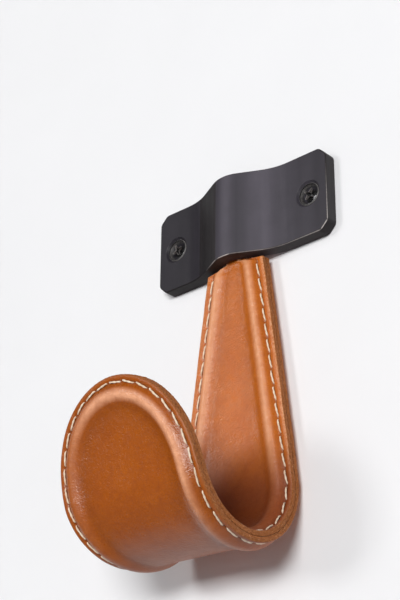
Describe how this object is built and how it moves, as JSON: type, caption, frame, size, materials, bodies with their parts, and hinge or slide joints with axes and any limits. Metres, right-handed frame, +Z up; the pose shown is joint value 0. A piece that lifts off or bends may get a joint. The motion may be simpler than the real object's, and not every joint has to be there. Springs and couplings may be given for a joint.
{
  "type": "wall guitar hanger",
  "caption": "Wall guitar hanger: a sewn tan leather J hook on a bent steel frame, clamped to the wall by a humped black steel bracket with countersunk screws.",
  "frame": {"origin": "on the wall plane, midway between the two screw holes of the bracket", "axes": "+Z up, +Y into the wall, the hook stands out towards -Y, +X to the right seen from the front"},
  "size_m": [0.0762, 0.0933, 0.1418],
  "materials": {
    "bracket_steel": "satin blackened steel with edges worn bright",
    "screw_steel": "black oxide",
    "frame_steel": "bare",
    "outer_leather": "smooth, lightly waxed",
    "inner_leather": "smooth, lightly waxed",
    "thread": "waxed thread"
  },
  "bodies": {
    "root": {"mounting_bracket": "bracket_steel", "screw_left": "screw_steel", "screw_right": "screw_steel", "hook_frame": "frame_steel", "outer_leather": "outer_leather", "inner_leather": "inner_leather", "stitching_outer": "thread", "stitching_inner": "thread"}
  },
  "joints": []
}
